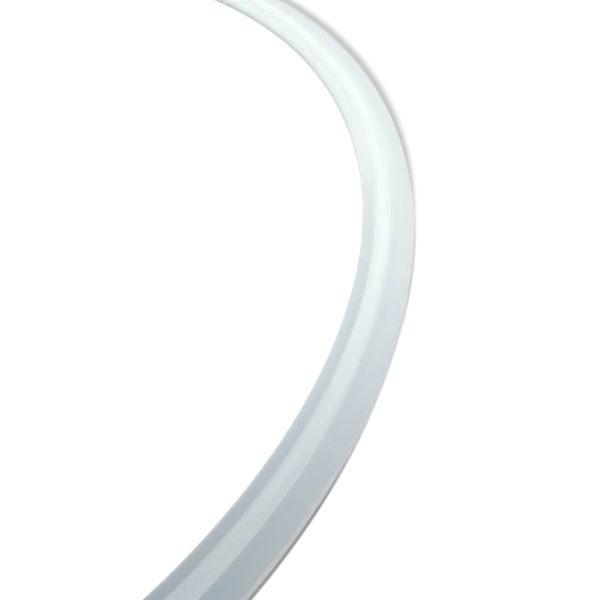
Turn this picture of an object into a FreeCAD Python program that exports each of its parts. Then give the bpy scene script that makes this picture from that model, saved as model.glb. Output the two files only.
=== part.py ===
# Sanitary clamp gasket: one moulded silicone ring that seals two clamp ferrules face to face.
# The ring lies flat with its axis along +Z. The origin is on the axis, level with the crest of
# the lower bead, on which the ring rests. Lengths are in millimetres and angles in degrees.

import FreeCAD, Part
import math
import os
import Sketcher

document = FreeCAD.newDocument("clamp_gasket")

# Driving dimensions. The radial ones are chained outwards from the bore, as on the ferrule.
DRIVING_DIMENSIONS = {
    "bore_diameter": 200.0,    # flush with the inside of the tube
    "bore_to_bead": 3.5,       # from the bore's wall to the middle of the bead
    "bead_to_rim": 5.5,        # from the middle of the bead to the outer edge
    "land_thickness": 1.6,     # flat web between the ferrules' faces
    "bead_height": 1.5,        # from the land to the crest
    "bead_crown_radius": 1.1,
    "bead_flank_draft": 25.0,  # how far each flank leans from upright
    "bore_edge_bevel": 0.2,
    "rim_edge_bevel": 0.2,
}

sizes = document.addObject("Spreadsheet::Sheet", "Sizes")
for row, (alias, value) in enumerate(DRIVING_DIMENSIONS.items(), start=1):
    sizes.set(f"A{row}", alias)
    sizes.set(f"B{row}", str(value))
    sizes.setAlias(f"B{row}", alias)
document.recompute()

# Radii and heights of the section, worked out from the driving dimensions.
bore_radius = sizes.bore_diameter / 2
bead_circle_radius = bore_radius + sizes.bore_to_bead
rim_radius = bead_circle_radius + sizes.bead_to_rim
lower_land = sizes.bead_height
upper_land = lower_land + sizes.land_thickness
lower_crown_centre = sizes.bead_crown_radius
upper_crown_centre = upper_land + sizes.bead_height - sizes.bead_crown_radius

# The crown runs smoothly into each flank, this far beside the bead's middle and from the level
# of the crown's centre. The flank then slopes to its foot on the land.
draft = math.radians(sizes.bead_flank_draft)
flank_top_offset = sizes.bead_crown_radius * math.cos(draft)
flank_top_rise = sizes.bead_crown_radius * math.sin(draft)
flank_fall = sizes.bead_height - sizes.bead_crown_radius + flank_top_rise
foot_offset = flank_top_offset + flank_fall * math.tan(draft)

inner_foot = bead_circle_radius - foot_offset
outer_foot = bead_circle_radius + foot_offset
inner_flank_top = bead_circle_radius - flank_top_offset
outer_flank_top = bead_circle_radius + flank_top_offset
lower_flank_top = lower_crown_centre - flank_top_rise
upper_flank_top = upper_crown_centre + flank_top_rise


# The ring's body, and the upright plane that holds its section.
gasket = document.addObject("PartDesign::Body", "gasket_ring")
gasket.Label = "gasket_ring"
section_plane = next(
    feature for feature in gasket.Origin.OriginFeatures if feature.Role == "XZ_Plane"
)
section = gasket.newObject("Sketcher::SketchObject", "ring_section")
section.AttachmentSupport = [(section_plane, "")]
section.MapMode = "FlatFace"

# How a constraint names a point of a stretch, and the sketch's own first axis and origin.
START, END, CENTRE = 1, 2, 3
FLOOR_LINE = -1
ORIGIN = (FLOOR_LINE, START)

stretch = {}  # each stretch of the section's outline, and its index in the sketch


def add_line(name, start, end, construction=False):
    line = Part.LineSegment(FreeCAD.Vector(*start, 0), FreeCAD.Vector(*end, 0))
    stretch[name] = section.addGeometry(line, construction)


def add_half_crown(name, centre_height, start_angle):
    """One side of a bead's crown, counter-clockwise between a flank and the crest."""
    centre = FreeCAD.Vector(bead_circle_radius, centre_height, 0)
    circle = Part.Circle(centre, FreeCAD.Vector(0, 0, 1), sizes.bead_crown_radius)
    arc = Part.ArcOfCircle(circle, start_angle, start_angle + math.pi / 2 - draft)
    stretch[name] = section.addGeometry(arc, False)


# The closed outline, once around counter-clockwise from the bore's lower edge. The sketch's
# first axis is the radius and its second the height.
add_line("lower_inner_land", (bore_radius, lower_land), (inner_foot, lower_land))
add_line("lower_inner_flank", (inner_foot, lower_land), (inner_flank_top, lower_flank_top))
add_half_crown("lower_inner_crown", lower_crown_centre, math.pi + draft)
add_half_crown("lower_outer_crown", lower_crown_centre, math.pi * 3 / 2)
add_line("lower_outer_flank", (outer_flank_top, lower_flank_top), (outer_foot, lower_land))
add_line("lower_outer_land", (outer_foot, lower_land), (rim_radius, lower_land))
add_line("rim_wall", (rim_radius, lower_land), (rim_radius, upper_land))
add_line("upper_outer_land", (rim_radius, upper_land), (outer_foot, upper_land))
add_line("upper_outer_flank", (outer_foot, upper_land), (outer_flank_top, upper_flank_top))
add_half_crown("upper_outer_crown", upper_crown_centre, draft)
add_half_crown("upper_inner_crown", upper_crown_centre, math.pi / 2)
add_line("upper_inner_flank", (inner_flank_top, upper_flank_top), (inner_foot, upper_land))
add_line("upper_inner_land", (inner_foot, upper_land), (bore_radius, upper_land))
add_line("bore_wall", (bore_radius, upper_land), (bore_radius, lower_land))
outline = list(stretch)

# Through the middle of both beads, to mirror their flanks about.
add_line(
    "bead_middle",
    (bead_circle_radius, lower_crown_centre), (bead_circle_radius, upper_crown_centre),
    construction=True,
)


def constrain(kind, *elements):
    return section.addConstraint(Sketcher.Constraint(kind, *elements))


def dimension(name, kind, *elements, formula):
    """A dimension of the section that follows the spreadsheet."""
    section.renameConstraint(constrain(kind, *elements), name)
    section.setExpression(f"Constraints.{name}", formula)


# Each stretch starts where the last one ends, and a flank runs smoothly into its crown.
for name, next_name in zip(outline, outline[1:] + outline[:1]):
    smooth = name.endswith("crown") != next_name.endswith("crown")
    constrain("Tangent" if smooth else "Coincident", stretch[name], END, stretch[next_name], START)

for face in ("lower", "upper"):
    constrain("Horizontal", stretch[f"{face}_inner_land"])
    constrain("Horizontal", stretch[f"{face}_outer_land"])
for upright in ("rim_wall", "bore_wall", "bead_middle"):
    constrain("Vertical", stretch[upright])

# The two sides of a crown share its centre, and meet at a crest on the bead's middle. The
# lower crest touches the floor.
for side in ("inner", "outer"):
    constrain("Coincident", stretch[f"lower_{side}_crown"], CENTRE, stretch["bead_middle"], START)
    constrain("Coincident", stretch[f"upper_{side}_crown"], CENTRE, stretch["bead_middle"], END)
constrain("PointOnObject", stretch["lower_inner_crown"], END, stretch["bead_middle"])
constrain("PointOnObject", stretch["upper_outer_crown"], END, stretch["bead_middle"])
constrain("PointOnObject", stretch["lower_inner_crown"], END, FLOOR_LINE)

# The beads match, above and below, and each is the same on both sides of its middle.
constrain(
    "Symmetric", stretch["lower_inner_flank"], START, stretch["lower_outer_flank"], END,
    stretch["bead_middle"],
)
constrain(
    "Symmetric", stretch["upper_inner_flank"], END, stretch["upper_outer_flank"], START,
    stretch["bead_middle"],
)
constrain("Vertical", stretch["lower_outer_flank"], END, stretch["upper_outer_flank"], START)
constrain("Equal", stretch["lower_outer_flank"], stretch["upper_outer_flank"])
constrain("Equal", stretch["lower_outer_crown"], stretch["upper_outer_crown"])

dimension(
    "bore_radius", "DistanceX", *ORIGIN, stretch["bore_wall"], END, bore_radius,
    formula="Sizes.bore_diameter / 2",
)
dimension(
    "bore_to_bead", "DistanceX", stretch["bore_wall"], END, stretch["bead_middle"], START,
    sizes.bore_to_bead, formula="Sizes.bore_to_bead",
)
dimension(
    "bead_to_rim", "DistanceX", stretch["bead_middle"], START, stretch["rim_wall"], START,
    sizes.bead_to_rim, formula="Sizes.bead_to_rim",
)
dimension(
    "land_thickness", "DistanceY", stretch["rim_wall"], START, stretch["rim_wall"], END,
    sizes.land_thickness, formula="Sizes.land_thickness",
)
dimension(
    "bead_height", "DistanceY", *ORIGIN, stretch["bore_wall"], END, sizes.bead_height,
    formula="Sizes.bead_height",
)
dimension(
    "crown_radius", "Radius", stretch["lower_outer_crown"], sizes.bead_crown_radius,
    formula="Sizes.bead_crown_radius",
)
dimension(
    "flank_slope", "Angle", stretch["lower_outer_flank"], math.pi / 2 - draft,
    formula="90 - Sizes.bead_flank_draft",
)

# The section swept once around the axis. Its faces aren't merged, so that each crest, which is
# the circle that seals, stays an edge of the ring.
ring = gasket.newObject("PartDesign::Revolution", "section_around_axis")
ring.Profile = section
ring.ReferenceAxis = (section, ["V_Axis"])
ring.Angle = 360
ring.Refine = False
section.Visibility = False
document.recompute()


def bevel_edges(base, name, innermost_or_outermost, size_alias):
    """The ring with the upper and lower edges of one of its upright walls bevelled."""
    walls = [face for face in base.Shape.Faces if isinstance(face.Surface, Part.Cylinder)]
    wall = innermost_or_outermost(walls, key=lambda face: face.Surface.Radius)
    circles = [edge for edge in wall.Edges if isinstance(edge.Curve, Part.Circle)]
    bevel = gasket.newObject("PartDesign::Chamfer", name)
    bevel.Base = (base, [
        f"Edge{number}"
        for number, edge in enumerate(base.Shape.Edges, start=1)
        if any(edge.isSame(circle) for circle in circles)
    ])
    bevel.setExpression("Size", f"Sizes.{size_alias}")
    bevel.Refine = False
    document.recompute()
    return bevel


bore_bevelled = bevel_edges(ring, "bore_edges", min, "bore_edge_bevel")
rim_bevelled = bevel_edges(bore_bevelled, "rim_edges", max, "rim_edge_bevel")
gasket.Tip = rim_bevelled
document.recompute()

# Nothing is written unless every object came out whole.
for item in document.Objects:
    failed = {"Invalid", "Error"} & set(item.State)
    if failed:
        raise RuntimeError(f"{item.Label} is {', '.join(sorted(failed))}")
if gasket.Shape.isNull() or not gasket.Shape.isValid() or len(gasket.Shape.Solids) != 1:
    raise RuntimeError(f"{gasket.Label} isn't one valid solid")

os.makedirs("parts", exist_ok=True)
gasket.Shape.exportStep(os.path.join("parts", f"{gasket.Label}.step"))

corners = gasket.Shape.optimalBoundingBox()
print(f"{gasket.Label}: {gasket.Shape.Volume:.1f} mm3, {len(gasket.Shape.Faces)} faces")
print(f"{corners.XLength:.3f} x {corners.YLength:.3f} x {corners.ZLength:.3f} mm")
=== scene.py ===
import math

import bmesh
import bpy
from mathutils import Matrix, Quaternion, Vector


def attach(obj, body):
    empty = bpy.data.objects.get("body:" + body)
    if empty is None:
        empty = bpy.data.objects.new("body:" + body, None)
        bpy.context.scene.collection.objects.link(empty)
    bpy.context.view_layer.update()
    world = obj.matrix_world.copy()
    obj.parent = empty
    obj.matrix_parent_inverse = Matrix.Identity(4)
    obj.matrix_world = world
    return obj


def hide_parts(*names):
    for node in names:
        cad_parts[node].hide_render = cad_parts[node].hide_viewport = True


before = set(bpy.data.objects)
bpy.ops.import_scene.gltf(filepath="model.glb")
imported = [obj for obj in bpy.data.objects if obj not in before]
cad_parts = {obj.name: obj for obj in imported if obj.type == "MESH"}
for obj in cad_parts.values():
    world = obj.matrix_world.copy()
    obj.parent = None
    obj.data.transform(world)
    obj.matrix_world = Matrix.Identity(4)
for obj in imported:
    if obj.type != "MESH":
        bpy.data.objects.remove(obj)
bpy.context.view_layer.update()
scene = bpy.context.scene

# The gasket ring: translucent silicone, moulded in one piece between the two halves of a mould.
# A bead runs round both of its faces between flat lands. Nothing fixes it: here it lies on its
# lower bead, and in use the clamp squeezes it between two ferrules.
bore_radius = 0.1
bead_radius = 0.1035
rim_radius = 0.10896
middle_height = 0.0023
land_height = 0.0008
crown_radius = 0.0011
crown_height = 0.0012
flank_draft = math.radians(25)
parting_line_rise = 0.00004
parting_line_half_width = 0.00007
bore_edge_rounding = 0.00028
rim_edge_rounding = 0.00016
inner_foot_rounding = 0.0003
outer_foot_rounding = 0.00014
crown_steps = 16
rounding_steps = 4
land_cuts = 7
shortest_land = 0.001
sectors = 12
steps_per_sector = 48
merge_distance = 1e-6

bore_wall = bore_radius + parting_line_rise
rim_wall = rim_radius - parting_line_rise
flank_top_offset = crown_radius * math.cos(flank_draft)
flank_top_height = crown_height + crown_radius * math.sin(flank_draft)
foot_offset = flank_top_offset + (flank_top_height - land_height) * math.tan(flank_draft)

# The section is drawn where the X axis cuts the ring, and only its upper half, above the faint
# parting line on its walls. That line is at height 0 until the ring is whole.
shape = bmesh.new()


def run_of_edges(points):
    """Corners of the section joined one to the next, each at a radius and a height."""
    corners = [shape.verts.new((radius, 0, height)) for radius, height in points]
    for pair in zip(corners, corners[1:]):
        shape.edges.new(pair)
    return corners


inner_corners = run_of_edges([
    (bore_radius, 0),
    (bore_wall, parting_line_half_width),
    (bore_wall, land_height),
    (bead_radius - foot_offset, land_height),
    (bead_radius - flank_top_offset, flank_top_height),
])
outer_corners = run_of_edges([
    (bead_radius + flank_top_offset, flank_top_height),
    (bead_radius + foot_offset, land_height),
    (rim_wall, land_height),
    (rim_wall, parting_line_half_width),
    (rim_radius, 0),
])
bore_edge, inner_foot, inner_flank_top = inner_corners[2:]
outer_foot, rim_edge = outer_corners[1:3]

# The bead's crown turns from the top of one flank to the top of the other. The edges are then
# rounded, and a small fillet runs each flank into its land.
bmesh.ops.spin(
    shape,
    geom=[inner_flank_top],
    cent=(bead_radius, 0, crown_height),
    axis=(0, 1, 0),
    dvec=(0, 0, 0),
    angle=math.pi - 2 * flank_draft,
    steps=crown_steps,
    use_merge=False,
    use_duplicate=False,
)
for corner, rounding in (
    (bore_edge, bore_edge_rounding),
    (rim_edge, rim_edge_rounding),
    (inner_foot, inner_foot_rounding),
    (outer_foot, outer_foot_rounding),
):
    bmesh.ops.bevel(
        shape,
        geom=[corner],
        offset=rounding,
        offset_type="OFFSET",
        segments=rounding_steps,
        profile=0.5,
        affect="VERTICES",
        clamp_overlap=True,
        material=-1,
    )
lands = [edge for edge in shape.edges if edge.calc_length() > shortest_land]
bmesh.ops.subdivide_edges(shape, edges=lands, cuts=land_cuts)
bmesh.ops.mirror(
    shape,
    geom=shape.verts[:] + shape.edges[:],
    axis="Z",
    merge_dist=merge_distance,
)
bmesh.ops.remove_doubles(shape, verts=shape.verts[:], dist=merge_distance)

# The section is swept through one sector of the ring, and that sector is repeated all round.
sector_angle = 2 * math.pi / sectors
for angle, steps, repeats in (
    (sector_angle, steps_per_sector, False),
    (2 * math.pi - sector_angle, sectors - 1, True),
):
    bmesh.ops.spin(
        shape,
        geom=shape.verts[:] + shape.edges[:] + shape.faces[:],
        cent=(0, 0, 0),
        axis=(0, 0, 1),
        dvec=(0, 0, 0),
        angle=angle,
        steps=steps,
        use_merge=False,
        use_duplicate=repeats,
    )
bmesh.ops.remove_doubles(shape, verts=shape.verts[:], dist=merge_distance)
bmesh.ops.recalc_face_normals(shape, faces=shape.faces[:])
bmesh.ops.translate(shape, verts=shape.verts[:], vec=(0, 0, middle_height))
for face in shape.faces:
    face.smooth = True
ring_mesh = bpy.data.meshes.new("silicone_ring")
shape.to_mesh(ring_mesh)
shape.free()
ring = bpy.data.objects.new("silicone_ring", ring_mesh)
scene.collection.objects.link(ring)


class Socket:
    """An output in a material. Sums on it add Math nodes, and node() adds any other kind."""

    def __init__(self, tree, output=None):
        self.tree = tree
        self.output = output

    def node(self, kind, settings=None, values=None, output=0):
        """Adds a node, its settings first, then the values or links of its sockets."""
        added = self.tree.nodes.new(kind)
        for name, setting in (settings or {}).items():
            if name == "stops":
                ramp = added.color_ramp.elements
                while len(ramp) < len(setting):
                    ramp.new(1)
                for stop, (position, shade) in zip(ramp, setting):
                    stop.position = position
                    stop.color = (*shade, 1)
            else:
                setattr(added, name, setting)
        for name, value in (values or {}).items():
            if isinstance(name, int):
                socket = added.inputs[name]
            else:
                socket = next(s for s in added.inputs if s.name == name and s.enabled)
            if isinstance(value, Socket):
                self.tree.links.new(value.output, socket)
            else:
                socket.default_value = value
        if isinstance(output, int):
            found = [s for s in added.outputs if s.enabled][output]
        else:
            found = added.outputs[output]
        return Socket(self.tree, found)

    def math(self, operation, *numbers):
        return self.node("ShaderNodeMath", {"operation": operation}, dict(enumerate(numbers)))

    def __add__(self, other):
        return self.math("ADD", self, other)

    def __radd__(self, other):
        return self.math("ADD", other, self)

    def __sub__(self, other):
        return self.math("SUBTRACT", self, other)

    def __rsub__(self, other):
        return self.math("SUBTRACT", other, self)

    def __mul__(self, other):
        return self.math("MULTIPLY", self, other)

    def __rmul__(self, other):
        return self.math("MULTIPLY", other, self)

    def __truediv__(self, other):
        return self.math("DIVIDE", self, other)

    def __pow__(self, other):
        return self.math("POWER", self, other)

    def ease(self, start, end):
        """0 up to start, 1 from end, and smooth between them."""
        return self.node(
            "ShaderNodeMapRange",
            {"interpolation_type": "SMOOTHSTEP"},
            {"Value": self, "From Min": start, "From Max": end},
        )

    def between(self, rise, fall):
        """1 after the rise and before the fall. Either is two places, or None if there is none."""
        if rise is None:
            return 1 - self.ease(*fall)
        if fall is None:
            return self.ease(*rise)
        return self.ease(*rise) * (1 - self.ease(*fall))

    def plain(self, colour):
        """One colour all over, to be tinted."""
        paint = self.node("ShaderNodeRGB")
        paint.output.default_value = (*colour, 1)
        return paint

    def tint(self, factor, colour, blend="MIX"):
        """This colour, mixed with another by factor."""
        if not isinstance(colour, Socket):
            colour = (*colour, 1)
        return self.node(
            "ShaderNodeMix",
            {"data_type": "RGBA", "blend_type": blend},
            {"Factor": factor, "A": self, "B": colour},
        )

    def feed(self, shader, name):
        self.tree.links.new(self.output, shader.inputs[name])


silicone = bpy.data.materials.new("milky_silicone")
silicone.use_nodes = True
silicone_shader = silicone.node_tree.nodes["Principled BSDF"]
surface = Socket(silicone.node_tree)
place = surface.node("ShaderNodeTexCoord", output="Object")
x, y, z = (
    surface.node("ShaderNodeSeparateXYZ", values={0: place}, output=axis) for axis in "XYZ"
)
radius = (x * x + y * y) ** 0.5

# Silicone looks whiter where it is thick, so its colour follows the section: a distance from the
# ring's axis, and the colour there. The dark dip beside the bead's inner foot is painted shade.
section_colours_and_shade = [
    (0.10000, (0.76, 0.82, 0.83)),
    (0.10060, (0.737, 0.805, 0.822)),
    (0.10120, (0.725, 0.795, 0.822)),
    (0.10210, (0.712, 0.783, 0.792)),
    # Painted shade: the dark dip beside the bead's inner foot.
    (0.10245, (0.68, 0.744, 0.762)),
    (0.10300, (0.79, 0.855, 0.86)),
    (0.10360, (0.85, 0.918, 0.905)),
    (0.10430, (0.828, 0.896, 0.852)),
    (0.10480, (0.815, 0.885, 0.862)),
    (0.10540, (0.769, 0.842, 0.86)),
    (0.10620, (0.75, 0.824, 0.838)),
    (0.10720, (0.741, 0.806, 0.822)),
    (0.10830, (0.738, 0.786, 0.792)),
    (0.10900, (0.715, 0.755, 0.75)),
]
first_radius = section_colours_and_shade[0][0]
colour_width = section_colours_and_shade[-1][0] - first_radius
colour = surface.node(
    "ShaderNodeValToRGB",
    {"stops": [
        ((distance - first_radius) / colour_width, shade) for distance, shade in section_colours_and_shade
    ]},
    {0: (radius - first_radius) / colour_width},
)

# Painted light and shade: the lamp's light falls on the back of the ring, so the ring is painted
# whiter at its back and bluer in front, at low Y, where it is in shade. Each tint comes in and
# goes out by its distance from the axis, and again by Y, and None leaves an end open. Its strength
# and its colour follow.
front_fall = (-0.058, -0.038)
back_rise = (-0.030, 0.025)
side_rise = (-0.052, -0.036)
side_fall = (0.0, 0.014)
crest_fall = (-0.054, -0.043)
light_and_shade_tints = [
    # Painted light: the bead and the lands beside it are whitest at the back, under the lamp.
    ((0.0995, 0.1014), (0.1050, 0.1074), back_rise, None, 0.85, (0.855, 0.925, 0.905)),
    # On the inner land: painted shade at the sides, painted light by the bead's foot in front.
    (None, (0.1018, 0.1022), (-0.036, -0.018), (-0.002, 0.012), 0.42, (0.64, 0.7, 0.735)),
    ((0.1009, 0.1015), (0.1017, 0.1021), None, (-0.055, -0.040), 0.5, (0.8, 0.87, 0.895)),
    # Painted light: the bead's inner flank is as white as its crest, except in front.
    ((0.1021, 0.1024), (0.1030, 0.1036), (-0.055, -0.030), None, 0.9, (0.83, 0.9, 0.873)),
    # Painted light and shade: at the sides the bead's outer flank stands out against the land.
    ((0.1039, 0.1043), (0.10475, 0.1049), side_rise, side_fall, 0.24, (0.92, 0.99, 0.94)),
    ((0.10486, 0.1050), (0.1058, 0.1070), side_rise, side_fall, 0.2, (0.64, 0.71, 0.76)),
    # Painted shade: in front the bead's crest is bluer, and duller on its outer side.
    ((0.1029, 0.1034), (0.1038, 0.1042), None, crest_fall, 0.4, (0.918, 0.974, 1.0)),
    ((0.1040, 0.1043), (0.1046, 0.1049), None, crest_fall, 0.4, (0.776, 0.81, 0.794)),
    # A painted highlight: a thin bright line follows the bead's outer foot in front.
    ((0.1048, 0.10489), (0.10491, 0.1050), None, (-0.055, -0.035), 0.9, (0.95, 1.0, 0.98)),
    # Painted light and shade: the bore's edge is warmer at the back and lighter in front.
    # The rim's is warmer in front.
    (None, (0.1003, 0.1013), (0.0, 0.045), None, 0.6, (0.75, 0.79, 0.765)),
    (None, (0.1003, 0.1008), None, (-0.050, -0.030), 0.6, (0.84, 0.885, 0.9)),
    ((0.1086, 0.1089), None, None, front_fall, 0.5, (0.74, 0.745, 0.705)),
]
# Each tint of painted light or shade is mixed into the colour.
for radius_rise, radius_fall, y_rise, y_fall, strength, shade in light_and_shade_tints:
    tinted = radius.between(radius_rise, radius_fall) * y.between(y_rise, y_fall)
    colour = colour.tint(tinted * strength, shade)

# Painted shade greys the upright walls, the bore's most of all at the back and at its lower edge,
# and the rim's most at the sides. In front painted light lightens the lower edge of the rim.
bore_shade_colour = (0.59, 0.615, 0.6)
bore_front_share = 0.1
bore_top_loss = 0.9
rim_shade_colour = (0.66, 0.71, 0.715)
rim_shade_share = 0.8
rim_back_loss = 0.55
rim_front_loss = 0.45
rim_foot_light_colour = (0.94, 0.94, 0.89)
rim_foot_light_share = 0.5

front = y.between(None, front_fall)
back = y.between(back_rise, None)
bore_face = radius.between(None, (0.10008, 0.1003))
bore_back = y.between((-0.035, -0.005), None)
bore_top = z.between((0.0017, 0.0027), None)
rim_face = radius.between((0.10876, 0.1089), None)
rim_foot = z.between(None, (0.0019, 0.0024))
# Painted shade on the bore and the rim, and painted light on the rim's lower edge in front.
bore_back_shade = (1 - bore_front_share) * bore_back * (1 - bore_top_loss * bore_top)
colour = colour.tint(bore_face * (bore_front_share + bore_back_shade), bore_shade_colour)
rim_shade_part = rim_shade_share - rim_back_loss * back - rim_front_loss * front
colour = colour.tint(rim_face * rim_shade_part, rim_shade_colour)
colour = colour.tint(rim_face * front * rim_foot * rim_foot_light_share, rim_foot_light_colour)

# Faint patches, some bluish and some greenish, as moulded silicone has. They are fainter at the
# back and at the sides.
patch_frequency = 260
patch_side_loss = 0.7
patch_back_loss = 0.65
bluish = (0.98, 0.985, 1.014)
greenish = (1.008, 1.01, 0.983)
patches = surface.node(
    "ShaderNodeTexNoise",
    {"noise_dimensions": "3D"},
    {"Vector": place, "Scale": patch_frequency, "Detail": 2.0, "Roughness": 0.5},
)
sides = y.between((-0.058, -0.044), (-0.026, -0.010))
patch_mix = patches.between((0.3, 0.7), None) * (1 - patch_side_loss * sides)
patch_colour = surface.plain(bluish).tint(patch_mix, greenish)
colour = colour.tint(1 - patch_back_loss * back, patch_colour, blend="MULTIPLY")

# Small marks on the upper face: where each is, how it is turned, half its length and width, how
# strongly it shows, and its colour. The first is a white speck and the others are scratches.
marks = [
    (0.09528, -0.04792, -50, 0.0003, 0.00012, 1.0, (1.0, 1.0, 1.0)),
    (0.09945, -0.03366, 60, 0.0003, 0.00005, 0.7, (0.35, 0.4, 0.4)),
    (0.08358, -0.05574, 35, 0.0009, 0.00004, 0.35, (0.95, 0.97, 0.97)),
    (0.08305, -0.05652, 20, 0.0006, 0.00004, 0.3, (0.95, 0.97, 0.97)),
]
mark_edge = (0.3, 1.2)
upper_face = z.between((middle_height, middle_height + land_height / 2), None)
for mark_x, mark_y, turn, half_length, half_width, strength, shade in marks:
    along_x, along_y = math.cos(math.radians(turn)), math.sin(math.radians(turn))
    lengthwise = ((x - mark_x) * along_x + (y - mark_y) * along_y) / half_length
    crosswise = ((y - mark_y) * along_x - (x - mark_x) * along_y) / half_width
    mark = (lengthwise * lengthwise + crosswise * crosswise).between(None, mark_edge)
    colour = colour.tint(mark * upper_face * strength, shade)
colour.feed(silicone_shader, "Base Color")

# A satin skin: fine grain, slow waves from the mould, and patches that are less polished.
grain_frequency = 4000
wave_frequency = 150
skin_depth = 0.00002
grain_share = 0.25
smoothest = 0.45
roughest = 0.55
grain = surface.node(
    "ShaderNodeTexNoise",
    {"noise_dimensions": "3D"},
    {"Vector": place, "Scale": grain_frequency, "Detail": 2.0, "Roughness": 0.6},
)
waves = surface.node(
    "ShaderNodeTexNoise",
    {"noise_dimensions": "3D"},
    {"Vector": place, "Scale": wave_frequency, "Detail": 1.0, "Roughness": 0.5},
)
skin = surface.node(
    "ShaderNodeBump",
    {},
    {"Strength": 0.5, "Distance": skin_depth, "Height": grain * grain_share + waves},
)
skin.feed(silicone_shader, "Normal")
(smoothest + (roughest - smoothest) * patches).feed(silicone_shader, "Roughness")
silicone_shader.inputs["IOR"].default_value = 1.41
silicone_shader.inputs["Subsurface Weight"].default_value = 0.5
silicone_shader.inputs["Subsurface Radius"].default_value = (1.0, 1.1, 1.15)
silicone_shader.inputs["Subsurface Scale"].default_value = 0.0008
ring_mesh.materials.append(silicone)

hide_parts("gasket_ring")
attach(ring, "root")

# The floor: a flat white sheet, wide enough for every view, on which the gasket lies. It looks
# white to the camera and in gloss, so its own glow carries the gasket's shade and shadow.
floor_half_width = 3.0
floor_glow = (0.85, 0.85, 0.85)
seen_colour = (0.345, 0.345, 0.345)
unseen_colour = (0.9, 0.9, 0.9)
unlit = (0.0, 0.0, 0.0)
floor_mesh = bpy.data.meshes.new("studio_floor")
sheet = bmesh.new()
bmesh.ops.create_grid(sheet, x_segments=1, y_segments=1, size=floor_half_width)
sheet.to_mesh(floor_mesh)
sheet.free()
floor = bpy.data.objects.new("studio_floor", floor_mesh)
scene.collection.objects.link(floor)

floor_paint = bpy.data.materials.new("white_sweep")
floor_paint.use_nodes = True
floor_shader = floor_paint.node_tree.nodes["Principled BSDF"]
sweep = Socket(floor_paint.node_tree)
seen = sweep.node("ShaderNodeLightPath", output="Is Camera Ray")
for ray in ("Is Glossy Ray", "Is Transmission Ray"):
    seen = sweep.math("MAXIMUM", seen, sweep.node("ShaderNodeLightPath", output=ray))
spot = sweep.node("ShaderNodeTexCoord", output="Object")
floor_x, floor_y = (
    sweep.node("ShaderNodeSeparateXYZ", values={0: spot}, output=axis) for axis in "XY"
)
from_axis = (floor_x * floor_x + floor_y * floor_y) ** 0.5

# Painted shade under the ring: the floor's glow is grey there, dark in front, and darkest in a
# thin line below the rim.
grey_shade_under_ring = (0.5, 0.56, 0.58)
dark_shade_under_ring = (0.06, 0.055, 0.03)
dark_shade_strength = 0.62
shade_line_under_rim = (0.05, 0.045, 0.02)
shade_line_strength = 0.55

under_ring = from_axis.between((0.1025, 0.1035), (0.10885, 0.1091))
floor_front = floor_y.between(None, (-0.058, -0.037))
rim_shade_line = from_axis.between((0.10848, 0.10864), None)
glow = sweep.plain(floor_glow)
# The painted shade under the ring goes into the floor's glow.
glow = glow.tint(under_ring * (1 - floor_front), grey_shade_under_ring)
glow = glow.tint(under_ring * floor_front * dark_shade_strength, dark_shade_under_ring)
glow = glow.tint(under_ring * floor_front * rim_shade_line * shade_line_strength, shade_line_under_rim)

# The shadow reaches out behind the ring as a circle moved back. It ends more softly the further
# back it is, and a darker strip touches the rim along the sides.
shadow_colour = (0.197, 0.231, 0.2175)
shadow_strength = 0.97
shadow_shift = 0.00665
shadow_radius = 0.10915
shadow_inner_edge = (0.1080, 0.1091)
shadow_inner_loss = 0.15
sharpest_blur = 0.0014
blur_growth = 0.023
strip_strength = 0.9
strip_inner_radius = 0.1090
strip_outer_radius = 0.1094
strip_growth = 0.05
strip_growth_start = -0.02
rim_shadow_edge = (0.1088, 0.1091)

behind = floor_y - shadow_shift
from_shadow = (floor_x * floor_x + behind * behind) ** 0.5
blur = sharpest_blur + blur_growth * sweep.math("MAXIMUM", floor_y, 0.0)
past_shadow = sweep.node("ShaderNodeClamp", {}, {"Value": (from_shadow - shadow_radius) / blur})
inner_part = from_shadow.between(None, shadow_inner_edge)
shadow = (1 - past_shadow) * (1 - shadow_inner_loss * inner_part)
widening = sweep.math("MAXIMUM", floor_y - strip_growth_start, 0.0)
strip_end = strip_outer_radius + strip_growth * widening
strip_part = floor_y.between((-0.032, -0.018), None)
strip = strip_part * from_axis.between(None, (strip_inner_radius, strip_end))
shadow = sweep.math("MAXIMUM", shadow, strip * strip_strength)
shadow = shadow * from_axis.between(rim_shadow_edge, None)
glow = glow.tint(shadow * shadow_strength, shadow_colour)

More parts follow.
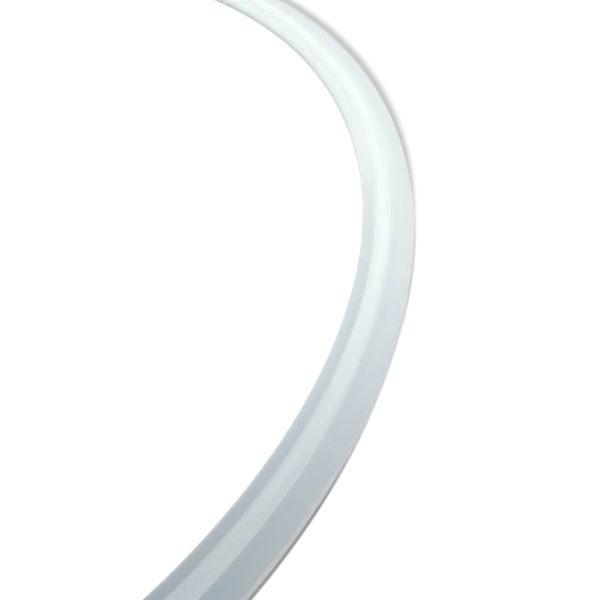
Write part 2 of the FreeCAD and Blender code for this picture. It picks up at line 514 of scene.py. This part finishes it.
sweep.plain(unlit).tint(seen, glow).feed(floor_shader, "Emission Color")
sweep.plain(unseen_colour).tint(seen, seen_colour).feed(floor_shader, "Base Color")
floor_shader.inputs["Emission Strength"].default_value = 1.0
floor_shader.inputs["Roughness"].default_value = 0.9
floor_shader.inputs["Specular IOR Level"].default_value = 0.0
floor_mesh.materials.append(floor_paint)

# The light: a softbox with a grid, hung level above the back of the ring. Its beam ends short of
# the front, and the pale room around it is brightest low down.
softbox_height = 0.3
softbox_front_edge = -0.046
softbox_depth = 0.2
softbox_width = 0.32
softbox_fade = 0.054
softbox_colour = (0.592, 0.567, 0.516)
softbox_data = bpy.data.lights.new("softbox", "AREA")
softbox_data.shape = "RECTANGLE"
softbox_data.size = softbox_width
softbox_data.size_y = softbox_depth
softbox_data.spread = 2 * math.atan(softbox_fade / softbox_height)
softbox_data.color = softbox_colour
softbox_data.energy = math.pi * softbox_width * softbox_depth
softbox = bpy.data.objects.new("softbox", softbox_data)
scene.collection.objects.link(softbox)
softbox.location = (0, softbox_front_edge + softbox_depth / 2, softbox_height)
softbox.visible_camera = False

room_colour = (1.125, 1.175, 1.27)
room_top = (0.5, 0.78)
white = (1.0, 1.0, 1.0)
room = bpy.data.worlds.new("pale_room")
room.use_nodes = True
scene.world = room
air = Socket(room.node_tree)
in_view = air.node("ShaderNodeLightPath", output="Is Camera Ray")
direction = air.node("ShaderNodeTexCoord", output="Generated")
rise = air.node("ShaderNodeSeparateXYZ", values={0: direction}, output="Z")
room_light = air.plain(room_colour).tint(rise.between(room_top, None), unlit)
room_light = room_light.tint(in_view, white)
room_light.feed(room.node_tree.nodes["Background"], "Color")

# The camera: held close above the ring, a little tilted, and looking down along its right side
# from the front to the back.
camera_place = Vector((0.098166, -0.091941, 0.088661))
camera_target = Vector((0.089847, -0.02215, 0.0031))
camera_tilt = math.radians(5.2626)
camera_data = bpy.data.cameras.new("camera")
camera_data.sensor_width = 36
camera_data.lens = 41.613
camera_data.clip_start = 0.005
camera = bpy.data.objects.new("camera", camera_data)
scene.collection.objects.link(camera)
camera.location = camera_place
level = (camera_target - camera_place).to_track_quat("-Z", "Y")
camera.rotation_mode = "QUATERNION"
camera.rotation_quaternion = level @ Quaternion((0, 0, -1), camera_tilt)
scene.camera = camera
scene.view_settings.view_transform = "Standard"
